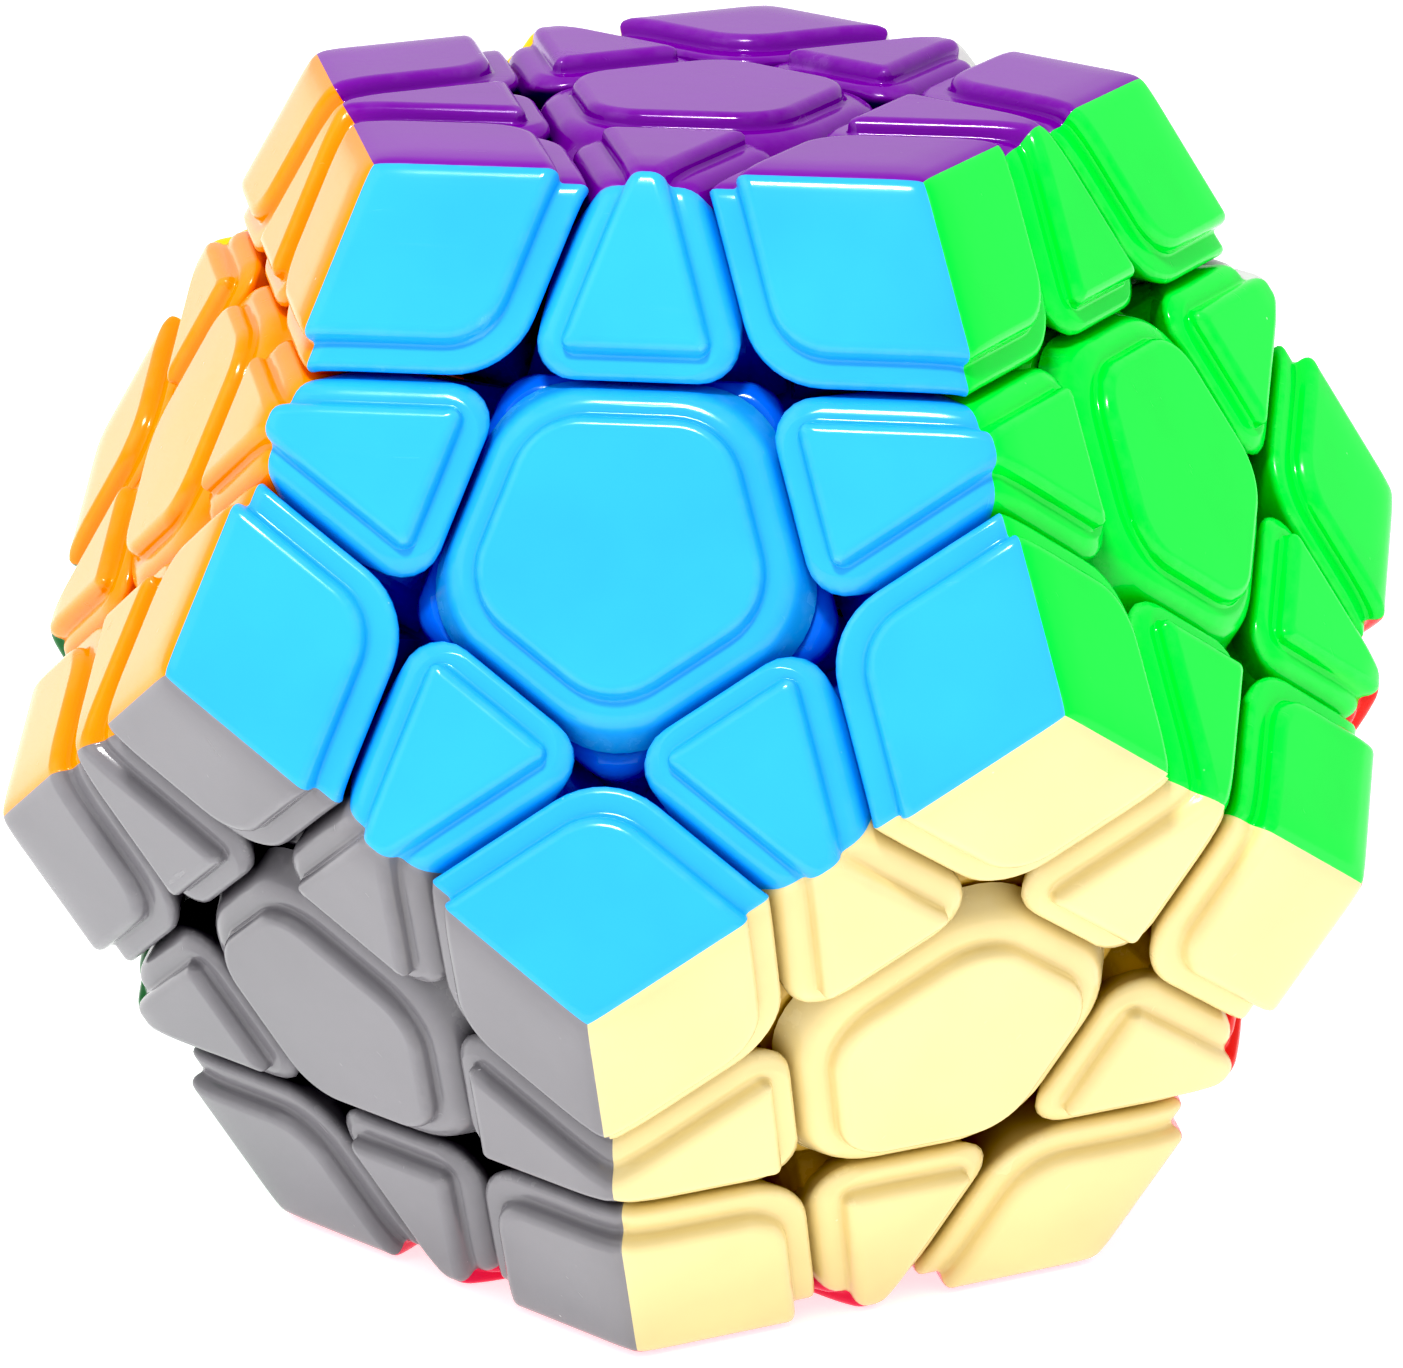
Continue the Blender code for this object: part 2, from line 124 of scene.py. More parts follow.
def ring_normal(azimuth, elevation):
    """Unit vector at an azimuth measured from -Y towards +X."""
    flat = math.cos(elevation)
    return Vector((math.sin(azimuth) * flat, -math.cos(azimuth) * flat, math.sin(elevation)))


def face_normals():
    normals = {"purple": Vector((0, 0, 1)), "pink": Vector((0, 0, -1))}
    for number in range(5):
        turn = math.radians(72 * number)
        normals[UPPER_RING[number]] = ring_normal(turn, RING_ELEVATION)
        normals[LOWER_RING[number]] = ring_normal(turn + math.radians(36), -RING_ELEVATION)
    return normals


NORMALS = face_normals()
BODY_OF = {node: body for body, nodes in frame["record"]["behaviour"]["bodies"].items()
           for node in nodes}


def neighbours(face):
    return [other for other in NORMALS
            if abs(NORMALS[other].dot(NORMALS[face]) - COS_SIDE) < 1e-4]


# ---------------------------------------------------------------- plan geometry of one face
def plan(angle):
    """In-plane direction at an angle in degrees, in a face's own frame."""
    turn = math.radians(angle)
    return np.array((math.cos(turn), math.sin(turn)))


def crossing(first, second):
    """Where two (angle, distance) lines of a face cross."""
    rows = np.array((plan(first[0]), plan(second[0])))
    return np.linalg.solve(rows, np.array((first[1], second[1])))


def cut_distance(level, side):
    """Distance of a neighbour's cut on a face, this much above it; side is +1 beyond the cut."""
    height = FACE_HEIGHT + level
    return (CUT_HEIGHT + side * HALF_GAP - height * COS_SIDE) / SIN_SIDE


def ridge_distance(level):
    return (FACE_HEIGHT + level) * RIDGE_SHARE


def fillet(corners, steps=4):
    """A path of (inset, level, reach) corners, rounded over that reach on both sides."""
    spots = [np.array(corner[:2]) for corner in corners]
    path = [spots[0]]
    for before, spot, after, corner in zip(spots, spots[1:], spots[2:], corners[1:]):
        back = (before - spot) / np.linalg.norm(before - spot)
        ahead = (after - spot) / np.linalg.norm(after - spot)
        half = math.acos(back @ ahead) / 2
        path += arc(before, spot, after, corner[2] * math.tan(half), steps)
    return path + [spots[-1]]


def arc(before, corner, after, radius, steps):
    """Points of the arc that rounds one corner of a path."""
    back = (before - corner) / np.linalg.norm(before - corner)
    ahead = (after - corner) / np.linalg.norm(after - corner)
    half = math.acos(np.clip(back @ ahead, -1, 1)) / 2
    reach = radius / math.tan(half)
    middle = (back + ahead) / np.linalg.norm(back + ahead)
    centre = corner + middle * radius / math.sin(half)
    first = corner + back * reach - centre
    across = corner + ahead * reach - centre
    span = math.pi - 2 * half
    points = []
    for number in range(steps + 1):
        share = number / steps
        points.append(centre + (math.sin((1 - share) * span) * first
                                + math.sin(share * span) * across) / math.sin(span))
    return points


NEAR_RIDGE = (0, 0.15, 0.3, 0.5, 0.75, 1.05, 1.5, 2.1, 2.9)


def run_to_ridge(start, end, extra=2):
    """Points from start towards end on a ridge, close together near the ridge, end included."""
    length = np.linalg.norm(end - start)
    scale = min(1, length / (NEAR_RIDGE[-1] * 1.4))
    near = [distance * scale for distance in NEAR_RIDGE]
    stops = [near[-1] + (length - near[-1]) * number / (extra + 1)
             for number in range(extra, 0, -1)] + near[::-1]
    return [end + (start - end) * stop / length for stop in stops]


class Skin:
    """Vertices and faces of one closed piece, in the frame of its own face."""

    def __init__(self, sides):
        """sides: in-plane angles of the neighbouring faces whose ridges the piece reaches."""
        self.normals = [np.array((0, 0, 1.0))]
        for angle in sides:
            self.normals.append(np.array((*(plan(angle) * SIN_SIDE), COS_SIDE)))
        self.vertices = []
        self.faces = []
        self.flat = []
        self.seams = {}

    def add(self, flat_point, level, seams=()):
        """Adds a point of the face at this level, moved onto the rounded ridge; its number."""
        point = np.array((*flat_point, FACE_HEIGHT + level))
        if len(self.normals) > 1:
            tight = self.soften(point, FACE_HEIGHT + level - RIDGE_ROUND, RIDGE_ROUND)
            wide = self.soften(point, FACE_HEIGHT + level - RIDGE_CROWN, RIDGE_CROWN)
            point = tight + (wide - tight) * CROWN_SHARE
        self.vertices.append(point)
        number = len(self.vertices) - 1
        if seams:
            self.seams[number] = seams
        return number

    def soften(self, point, height, radius):
        """The point on the rounded solid whose core has all its faces at this height."""
        active = [side for side in self.normals if point @ side > height + 1e-9]
        while active:
            rows = np.array(active)
            weights = np.linalg.solve(rows @ rows.T, rows @ point - height)
            if (weights >= -1e-9).all():
                break
            active = [side for side, weight in zip(active, weights) if weight > 0]
        inner = point - weights @ rows
        away = point - inner
        return inner + away / np.linalg.norm(away) * radius

    def strip(self, lower, upper, closed=False):
        """Quads between two loops, where upper lies inward of or above lower."""
        count = len(lower)
        for number in range(count if closed else count - 1):
            after = (number + 1) % count
            quad = (lower[number], lower[after], upper[after], upper[number])
            self.face(quad)

    def face(self, corners, flat=False):
        kept = [corner for place, corner in enumerate(corners) if corner != corners[place - 1]]
        if len(kept) > 2:
            self.faces.append(kept)
            self.flat.append(flat)

    def mesh(self, name, material):
        made = bpy.data.meshes.new(name)
        made.from_pydata([Vector(point) * MM for point in self.vertices], [], self.faces)
        made.materials.append(material)
        shaped = bmesh.new()
        shaped.from_mesh(made)
        bmesh.ops.recalc_face_normals(shaped, faces=shaped.faces)
        shaped.to_mesh(made)
        shaped.free()
        self.set_normals(made)
        return made

    def set_normals(self, made):
        """Area-weighted normals, mirrored across the ridges; seams and undersides stay flat."""
        for face in made.polygons:
            face.use_smooth = True
        sums = np.zeros((len(self.vertices), 3))
        for face, flat in zip(made.polygons, self.flat):
            if not flat:
                for corner in face.vertices:
                    sums[corner] += np.array(face.normal) * face.area
        for number, planes in self.seams.items():
            for plane in planes:
                sums[number] -= (sums[number] @ plane) * plane
        lengths = np.linalg.norm(sums, axis=1, keepdims=True)
        smooth = sums / np.maximum(lengths, 1e-12)
        corner_normals = []
        for face, flat in zip(made.polygons, self.flat):
            for corner in face.vertices:
                usable = not flat and lengths[corner][0] > 1e-12
                corner_normals.append(Vector(smooth[corner]) if usable else face.normal.copy())
        made.normals_split_custom_set(corner_normals)

    def seam_plane(self, side):
        """Unit normal of the plane halfway between this face and a neighbour."""
        across = self.normals[0] - self.normals[side]
        return across / np.linalg.norm(across)


def tile_profile(lean, ledge, bottom, rows=2):
    """(inset, level) pairs from the bottom of the wall to the flat of the raised panel.

    lean: how far the cut runs in (or out, if negative) over its depth below the face."""
    top = ledge + STEP_DRAFT
    path = fillet([(lean * (STEP + RIM_REACH * 1.2), -STEP - RIM_REACH * 1.2, 0),
                   (lean * STEP, -STEP, RIM_REACH), (ledge, -STEP, GROOVE_REACH),
                   (top, 0, PANEL_REACH), (top + PANEL_REACH * 1.25, 0, 0)])
    start = path[0][1]
    wall = [np.array((lean * -level, level))
            for level in np.linspace(bottom, start, rows, endpoint=False)]
    return wall + path


def plan_radius(radii, inset, ledge):
    """Plan radius at an inset, from the radius at the cut to the one at the foot of the step."""
    share = max(0, inset / ledge)
    return max(0.3, radii[0] + (radii[1] - radii[0]) * share)


CUT_LEAN = 0.5           # in-plane shift of a cut over its depth, for a piece beyond the cut


# ---------------------------------------------------------------- corner pieces
CORNER_BOTTOM = -8.4


def corner_half_path(inset, level, full_radius):
    """From the middle of a corner tile's rounded inner corner to the ridge on its +36 side."""
    cut = cut_distance(0, 1) + inset
    ridge = ridge_distance(level)
    inner = crossing((36, cut), (-36, cut))
    end = crossing((36, ridge), (-36, cut))
    other = crossing((36, cut), (-36, ridge))
    side = np.linalg.norm(end - inner)
    radius = min(full_radius, side * 0.62 / math.tan(math.radians(36)))
    rounded = arc(other, inner, end, radius, 8)
    return rounded[4:] + run_to_ridge(rounded[-1], end)


def mirrored(point):
    return np.array((point[0], -point[1]))


def corner_skin():
    """One coloured third of a corner: the tile on its face, down to the piece's inner point."""
    skin = Skin((36, -36))
    seams = {1: skin.seam_plane(1), 2: skin.seam_plane(2)}
    loops = []
    half = None
    for inset, level in tile_profile(CUT_LEAN, CORNER_LEDGE, CORNER_BOTTOM, 4):
        radius = plan_radius(CORNER_PLAN, inset - max(0, -level - STEP) * CUT_LEAN, CORNER_LEDGE)
        half = corner_half_path(inset, level, radius)
        row = [skin.add(point, level, (seams[1],) if point is half[-1] else ())
               for point in half[::-1]]
        row += [skin.add(mirrored(point), level,
                         (seams[2],) if point is half[-1] else ()) for point in half[1:]]
        loops.append(row)
    for lower, upper in zip(loops, loops[1:]):
        skin.strip(lower, upper)
    ridges = fill_corner(skin, half, loops[-1], seams)
    tip = skin.add((crossing((36, ridge_distance(CORNER_BOTTOM)),
                             (-36, ridge_distance(CORNER_BOTTOM)))), CORNER_BOTTOM,
                   (seams[1], seams[2]))
    skin.face([row[0] for row in loops] + ridges[0] + [tip], flat=True)
    skin.face([tip] + ridges[1][::-1] + [row[-1] for row in loops[::-1]], flat=True)
    skin.face(loops[0][::-1] + [tip], flat=True)
    return skin


def fill_corner(skin, half, loop, seams):
    """The flat of a corner's panel, from its inner loop to both ridges; the two ridge lines."""
    ridge = ridge_distance(0)
    along = [(point @ plan(36), point @ plan(-36)) for point in half]
    start = along[0][0]
    cut = along[-1][1]
    last = len(half) - 1

    def coordinate(i, j):
        reach = along[i][0] + (ridge - along[i][0]) / (ridge - start) * (along[j][1] - start)
        return ridge if i == last else reach

    grid = [[None] * (last + 1) for _ in range(last + 1)]
    for i in range(last + 1):
        grid[i][0] = loop[last - i]
        grid[0][i] = loop[last + i]
    for i in range(1, last + 1):
        for j in range(1, last + 1):
            point = crossing((36, coordinate(i, j)), (-36, coordinate(j, i)))
            on = ((seams[1],) if i == last else ()) + ((seams[2],) if j == last else ())
            grid[i][j] = skin.add(point, 0, on)
    for i in range(last):
        for j in range(last):
            skin.face((grid[i][j], grid[i][j + 1], grid[i + 1][j + 1], grid[i + 1][j]))
    return grid[last][1:], [row[last] for row in grid[1:]]


# ---------------------------------------------------------------- edge pieces
EDGE_BOTTOM = -4.5
BASE_STEPS = 4
ARC_STEPS = 6
EDGE_UNDERCUT = 1.1      # how much rounder the base corners get over their depth


def edge_path(base_inset, side_inset, levels, radius):
    """Points and levels round an edge tile: ridge, one side, the base, and back to the ridge."""
    base = cut_distance(0, 1) + base_inset
    side = cut_distance(0, -1) - side_inset
    foot = crossing((72, side), (0, base))
    end = crossing((0, ridge_distance(levels[1])), (72, side))
    corner = arc(end, foot, mirrored(foot), radius, ARC_STEPS)
    run = run_to_ridge(corner[0], end)[::-1]
    half = run + corner
    across = [half[-1] + (mirrored(half[-1]) - half[-1]) * number / BASE_STEPS
              for number in range(1, BASE_STEPS)]
    turn = np.linspace(levels[1], levels[0], ARC_STEPS + 1)
    heights = [levels[1]] * len(run) + list(turn)
    return (half + across + [mirrored(point) for point in half[::-1]],
            heights + [levels[0]] * len(across) + heights[::-1])


def edge_skin():
    """One coloured half of an edge: the tile on its face, on its share of the base."""
    skin = Skin((0,))
    seam = (skin.seam_plane(1),)
    loops = []
    bases = tile_profile(CUT_LEAN, EDGE_LEDGE, EDGE_BOTTOM)
    sides = tile_profile(-CUT_LEAN, EDGE_SIDE_LEDGE, EDGE_BOTTOM)
    for base, side in zip(bases, sides):
        radius = plan_radius(EDGE_PLAN, side[0], EDGE_SIDE_LEDGE)
        radius += max(0, -side[1] - STEP - RIM_REACH) * EDGE_UNDERCUT
        path, levels = edge_path(base[0], side[0], (base[1], side[1]), radius)
        loops.append([skin.add(point, level, seam if place in (0, len(path) - 1) else ())
                      for place, (point, level) in enumerate(zip(path, levels))])
    for lower, upper in zip(loops, loops[1:]):
        skin.strip(lower, upper)
    ridge_line = fill_edge(skin, path, loops[-1], seam)
    skin.face([row[0] for row in loops] + ridge_line + [row[-1] for row in loops[::-1]],
              flat=True)
    skin.face(loops[0][::-1], flat=True)
    return skin


def fill_edge(skin, path, loop, seam):
    """The flat of an edge's panel, in rows along the ridge; the numbers on the ridge line."""
    rows = (len(path) - BASE_STEPS + 1) // 2
    grid = []
    for row in range(rows - 1):
        left, right = path[row], path[-1 - row]
        inside = [skin.add(left + (right - left) * number / BASE_STEPS, 0,
                           seam if row == 0 else ()) for number in range(1, BASE_STEPS)]
        grid.append([loop[row]] + inside + [loop[-1 - row]])
    grid.append(loop[rows - 1:rows + BASE_STEPS])
    for upper, lower in zip(grid, grid[1:]):
        skin.strip(lower, upper)
    return grid[0][1:-1]


# ---------------------------------------------------------------- centre pieces
def pentagon(side, radius, steps=8):
    """A closed pentagon with rounded corners, its sides this far from the axis."""
    points = []
    for number in range(5):
        lines = [(72 * (number + turn), side) for turn in (-1, 0, 1)]
        before, corner = crossing(lines[0], lines[1]), crossing(lines[1], lines[2])
        after = crossing(lines[2], (72 * (number + 2), side))
        rounded = arc(before, corner, after, radius, steps)
        previous = arc(crossing((72 * (number - 2), side), lines[0]), before, corner, radius, 1)
        points.append((previous[-1] + rounded[0]) / 2)
        points += rounded
    return points


def cap_skin():
    skin = Skin(())
    loops = []
    for inset, level in tile_profile(-CUT_LEAN, CENTRE_LEDGE, CAP_BOTTOM, 1):
        radius = plan_radius(CENTRE_PLAN, inset, CENTRE_LEDGE)
        path = pentagon(cut_distance(0, -1) - inset, radius)
        loops.append([skin.add(point, level) for point in path])
    for share in (0.7, 0.35):
        loops.append([skin.add(point * share, 0) for point in path])
    for lower, upper in zip(loops, loops[1:]):
        skin.strip(lower, upper, closed=True)
    skin.face(loops[-1])
    skin.face(loops[0][::-1], flat=True)
    return skin


def circle(path, radius):
    """A circle with its points at the same angles as a path's."""
    return [point / np.linalg.norm(point) * radius for point in path]


def skirt_side(level):
    """Distance of a skirt's sides, held by the cuts and by the cones of the layers beside it."""
    free = math.acos(COS_SIDE) - NECK_ANGLE - HALF_GAP / FOOT_TOP
    return min(cut_distance(level, -1), (FACE_HEIGHT + level) * math.tan(free))


def base_skin():
    """Skirt and hub under a cap, with the well for the spring and the screw's head."""
    skin = Skin(())
    outline = pentagon(skirt_side(SKIRT_TOP), SKIRT_PLAN)
    stack = [(circle(outline, HOLE_RADIUS), HUB_BOTTOM), (circle(outline, HUB_RADIUS), HUB_BOTTOM),
             (circle(outline, HUB_RADIUS), SKIRT_BOTTOM)]
    edge = fillet([(0.5, SKIRT_BOTTOM, 0), (0, SKIRT_BOTTOM, SKIRT_BEVEL), (0, SKIRT_TOP, SKIRT_ROUND),
                   (1.6, SKIRT_TOP, 0)])
    stack += [(pentagon(skirt_side(level) - inset, SKIRT_PLAN - inset), level)
              for inset, level in edge]
    stack += [(circle(outline, WELL_RADIUS), SKIRT_TOP), (circle(outline, WELL_RADIUS), HUB_FLOOR),
              (circle(outline, HOLE_RADIUS), HUB_FLOOR)]
    loops = [[skin.add(point, level) for point in path] for path, level in stack]
    for lower, upper in zip(loops, loops[1:] + loops[:1]):
        skin.strip(lower, upper, closed=True)
    return skin


# ---------------------------------------------------------------- stems, feet and core
def cone_limit(axis, face, angle, inside, around, basis):
    """How far from a piece's axis, in radians, a cone about a face lets the piece reach."""
    along = axis.dot(NORMALS[face])
    across = (NORMALS[face].dot(basis[0]) * math.cos(around)
              + NORMALS[face].dot(basis[1]) * math.sin(around))
    size = math.hypot(along, across)
    if size < math.cos(angle):
        return math.pi if not inside else 0
    turn = math.acos(math.cos(angle) / size)
    middle = math.atan2(across, along)
    if inside:
        return middle + turn
    return middle - turn if middle - turn > 0 else math.pi


STEM_SIDES = 60
CORE_SIDES = 60          # a multiple of 10, so that points fall where three patches meet


def stem_mesh(name, faces, ends, top):
    """Foot and neck of a corner or an edge, held inside and outside the cones of its layers."""
    axis = sum((NORMALS[face] for face in faces), Vector()).normalized()
    side = (NORMALS[faces[0]] - axis * axis.dot(NORMALS[faces[0]])).normalized()
    basis = (side, axis.cross(side))

    def ring(radius, own, passing, trim):
        """A loop inside its layers' cones of one angle, and beyond the passing layers' cones."""
        loop = []
        clear = HALF_GAP / radius
        within = own - clear
        beyond = max(passing + clear, math.acos(min(1, (CUT_HEIGHT - HALF_GAP) / radius)))
        for number in range(STEM_SIDES):
            around = math.tau * number / STEM_SIDES
            limits = [cone_limit(axis, face, within, True, around, basis) for face in faces]
            limits += [cone_limit(axis, face, beyond, False, around, basis) for face in ends]
            polar = min(limits) - trim / radius
            flat = basis[0] * math.cos(around) + basis[1] * math.sin(around)
            loop.append((axis * math.cos(polar) + flat * math.sin(polar)) * radius * MM)
        return loop

    foot, neck = FOOT_ANGLE, NECK_ANGLE
    rings = [ring(FOOT_BOTTOM, foot, foot, 2.0),
             ring(FOOT_BOTTOM, foot, foot, FOOT_ROUND),
             ring(FOOT_BOTTOM + FOOT_BEVEL, foot, foot, FOOT_BEVEL),
             ring(FOOT_BOTTOM + FOOT_ROUND, foot, foot, 0),
             ring(FOOT_TOP - FOOT_ROUND, foot, foot, 0),
             ring(FOOT_TOP - FOOT_BEVEL, foot, foot, FOOT_BEVEL),
             ring(FOOT_TOP, foot, foot, FOOT_ROUND),
             ring(FOOT_TOP, neck, foot, -0.3),
             ring(FOOT_TOP + 0.1, neck, foot, -0.1),
             ring(SHOULDER, neck, foot, 0),
             ring(SHOULDER + 0.1, neck, neck, 0),
             ring(top, neck, neck, 0)]
    points = [point for loop in rings for point in loop]
    quads = [tuple(range(STEM_SIDES - 1, -1, -1))]
    for level in range(len(rings) - 1):
        first = level * STEM_SIDES
        for number in range(STEM_SIDES):
            after = (number + 1) % STEM_SIDES
            quads.append((first + number, first + after, first + STEM_SIDES + after,
                          first + STEM_SIDES + number))
    quads.append(tuple(range(len(points) - STEM_SIDES, len(points))))
    mesh = bpy.data.meshes.new(name)
    mesh.from_pydata(points, [], quads)
    # Painted shade: each stem takes the shaded copies of its faces' plastics
    for face in faces:
        mesh.materials.append(SHADED_PLASTICS[face])
    for quad in mesh.polygons:
        heights = [quad.center.dot(NORMALS[face]) for face in faces]
        quad.material_index = heights.index(max(heights))
    mesh.polygons.foreach_set("use_smooth", [True] * len(mesh.polygons))
    mesh.set_sharp_from_angle(angle=math.radians(40))
    return mesh


def core_patch():
    """One arm of the core and its share of the ball, out to the halfway planes."""
    skin = Skin(())
    angles = [math.tau * number / CORE_SIDES for number in range(CORE_SIDES)]
    plans = [np.array((math.cos(angle), math.sin(angle))) for angle in angles]
    thread = HOLE_RADIUS - 0.3
    flare = POST_RADIUS + POST_FLARE
    foot = math.sqrt(CORE_RADIUS ** 2 - flare ** 2)
    heights = [(thread, SCREW_END), (thread, POST_TOP), (POST_RADIUS - POST_BEVEL, POST_TOP),
               (POST_RADIUS, POST_TOP - POST_BEVEL), (POST_RADIUS, foot + 0.9),
               (POST_RADIUS + 0.25, foot + 0.3), (flare, foot)]
    loops = [[skin.add(spot * radius, height - FACE_HEIGHT) for spot in plans]
             for radius, height in heights]
    last = []
    for angle, spot in zip(angles, plans):
        nearest = math.radians((math.degrees(angle) + 36) % 72 - 36)
        polar = math.atan(RIDGE_SHARE / math.cos(nearest))
        last.append(skin.add(spot * CORE_RADIUS * math.sin(polar),
                             CORE_RADIUS * math.cos(polar) - FACE_HEIGHT))
    loops.append(last)
    for lower, upper in zip(loops, loops[1:]):
        skin.strip(lower, upper, closed=True)
    skin.face(loops[0])
    return skin


# ---------------------------------------------------------------- materials
def srgb(text):
    """Linear colour of a six-digit hexadecimal colour."""
    channels = [int(text[place:place + 2], 16) / 255 for place in (0, 2, 4)]
    return [value / 12.92 if value <= 0.04045 else ((value + 0.055) / 1.055) ** 2.4
            for value in channels]


def add_node(tree, kind, inputs, **settings):
    """A shader node; an input given as a socket is linked, and any other is set."""
    made = tree.nodes.new("ShaderNode" + kind)
    for name, value in settings.items():
        setattr(made, name, value)
    for name, value in inputs.items():
        if isinstance(value, bpy.types.NodeSocket):
            tree.links.new(value, made.inputs[name])
        else:
            made.inputs[name].default_value = value
    return made


class Finish:
    """A material's node tree, with the textures that its plastics and metals share."""

    def __init__(self, name, tint):
        self.material = bpy.data.materials.new(name)
        self.material.use_nodes = True
        self.material.diffuse_color = (*tint, 1)
        self.tree = self.material.node_tree
        self.shader = self.tree.nodes["Principled BSDF"]
        self.spot = self.add("TexCoord", {}).outputs["Object"]
        self.piece = self.add("ObjectInfo", {}).outputs["Random"]
        self.seed = self.add("Math", {0: self.piece, 1: 50.0}, operation="MULTIPLY").outputs[0]

    def add(self, kind, inputs, **settings):
        return add_node(self.tree, kind, inputs, **settings)

    def noise(self, features, detail=2.0, stretch=(1, 1, 1), roughness=0.5):
        """Noise of about this many features in a millimetre, different on every piece."""
        scale = [factor * features / MM for factor in stretch]
        spot = self.add("Mapping", {"Vector": self.spot, "Scale": scale}).outputs[0]
        return self.add("TexNoise", {"Vector": spot, "W": self.seed, "Scale": 1.0, "Detail": detail,
                                     "Roughness": roughness}, noise_dimensions="4D").outputs["Fac"]

    def span(self, value, low, high, new_low, new_high):
        """A value mapped from one range to another, held inside it."""
        return self.add("MapRange", {"Value": value, "From Min": low, "From Max": high,
                                     "To Min": new_low, "To Max": new_high}).outputs[0]

    def blend(self, share, first, second):
        """Two colours mixed by a share that is a number or a socket."""
        mix = self.add("Mix", {0: share}, data_type="RGBA")
        for place, colour in ((6, first), (7, second)):
            if isinstance(colour, bpy.types.NodeSocket):
                self.tree.links.new(colour, mix.inputs[place])
            else:
                mix.inputs[place].default_value = (*colour, 1)
        return mix.outputs[2]

    def sum(self, first, second):
        return self.add("Math", {0: first, 1: second}, operation="ADD").outputs[0]

    def product(self, first, second):
        return self.add("Math", {0: first, 1: second}, operation="MULTIPLY").outputs[0]

    def bump(self, height, depth, strength, under=None):
        """A bump of this depth in millimetres, over another if one is given."""
        inputs = {"Height": height, "Distance": depth * MM, "Strength": strength}
        if under:
            inputs["Normal"] = under
        return self.add("Bump", inputs).outputs[0]

    def worn_edges(self, low, high):
        """Share of handling wear: strongest along raised edges, broken up by noise."""
        edge = self.span(self.add("NewGeometry", {}).outputs["Pointiness"], low, high, 0, 1)
        return self.product(edge, self.span(self.noise(0.8, 4), 0.42, 0.62, 0, 1))

    def grooves(self, low, high):
        """Share of painted shade in concave corners: how far their colour is darkened and deepened."""
        return self.span(self.add("NewGeometry", {}).outputs["Pointiness"], low, high, 1, 0)

    def specks(self, features, size):
        """Sparse dust specks; size is a share of the space between two of them."""
        spot = self.add("Mapping", {"Vector": self.spot, "Scale": [features / MM] * 3}).outputs[0]
        spots = self.add("TexVoronoi", {"Vector": spot, "Scale": 1.0}).outputs["Distance"]
        patch = self.span(self.noise(0.15), 0.5, 0.62, 0, 1)
        return self.product(self.span(spots, size * 0.6, size, 1, 0), patch)

    def wire(self, **sockets):
        for name, value in sockets.items():
            self.tree.links.new(value, self.shader.inputs[name.replace("_", " ")])


def toned(tint, factor):
    return [min(1, channel * factor) for channel in tint]


def towards(tint, other, share):
    return [channel + (goal - channel) * share for channel, goal in zip(tint, other)]


def deepened(tint, power):
    """The colour that light takes after it has bounced between walls of the same plastic."""
    return [channel ** power for channel in tint]


def plastic(name, tint):
    """Glossy moulded ABS: faint flow marks, orange peel, fine scratches, dust and worn edges, with
    painted shade deepening its colour in concave grooves.
    """
    finish = Finish(name, tint)
    flow = finish.noise(0.09, 3)
    scratches = finish.span(finish.noise(0.5, 2, (0.25, 9, 2)), 0.66, 0.8, 0, 1)
    dust = finish.specks(0.35, 0.035)
    wear = finish.worn_edges(0.515, 0.56)

    base = finish.blend(finish.span(flow, 0.3, 0.7, 0, 1), toned(tint, 0.93), toned(tint, 1.05))
    batch = finish.span(finish.piece, 0, 1, 0, 0.1)
    base = finish.blend(batch, base, toned(tint, 0.82))
    # Painted shade: concave grooves take a darker, deeper colour, standing in for the shade and
    # bounced light there
    groove = finish.product(finish.grooves(0.42, 0.495), 0.7)
    base = finish.blend(groove, base, deepened(toned(tint, 0.95), 2.3))
    base = finish.blend(finish.product(wear, 0.2), base, towards(tint, (1, 1, 1), 0.3))
    base = finish.blend(finish.product(dust, 0.4), base, (0.85, 0.85, 0.82))

    rough = finish.span(flow, 0.3, 0.7, 0.11, 0.19)
    rough = finish.sum(rough, finish.product(scratches, 0.18))
    rough = finish.sum(rough, finish.product(finish.sum(wear, dust), 0.2))
    peel = finish.bump(finish.noise(0.5, 2), 0.05, 0.16)
    grooves = finish.bump(scratches, -0.02, 0.15, peel)
    finish.wire(Base_Color=base, Roughness=rough, Normal=grooves)
    finish.shader.inputs["IOR"].default_value = 1.5
    return finish.material


def dark_nylon(name, colour):
    """Satin moulded nylon with a fine even grain."""
    tint = srgb(colour)
    finish = Finish(name, tint)
    flow = finish.noise(0.2, 3)
    wear = finish.worn_edges(0.515, 0.57)
    base = finish.blend(finish.span(flow, 0.3, 0.7, 0, 1), toned(tint, 0.75), toned(tint, 1.3))
    base = finish.blend(finish.product(wear, 0.5), base, towards(tint, (1, 1, 1), 0.12))
    rough = finish.span(flow, 0.3, 0.7, 0.38, 0.55)
    grain = finish.bump(finish.noise(6, 2), 0.03, 0.25)
    finish.wire(Base_Color=base, Roughness=rough, Normal=grain)
    return finish.material


def plated_steel(name, colour):
    """Zinc-plated steel, brushed round the screws' length and dulled in patches."""
    tint = srgb(colour)
    finish = Finish(name, tint)
    patches = finish.noise(0.6, 4)
    lines = finish.noise(2.5, 3, (1, 1, 6))
    base = finish.blend(finish.span(patches, 0.35, 0.65, 0, 1), toned(tint, 0.8), toned(tint, 1.1))
    rough = finish.sum(finish.span(patches, 0.35, 0.65, 0.2, 0.34),
                       finish.span(lines, 0.3, 0.7, 0, 0.12))
    brushed = finish.bump(lines, 0.01, 0.3)
    finish.wire(Base_Color=base, Roughness=rough, Normal=brushed)
    finish.shader.inputs["Metallic"].default_value = 1.0
    return finish.material


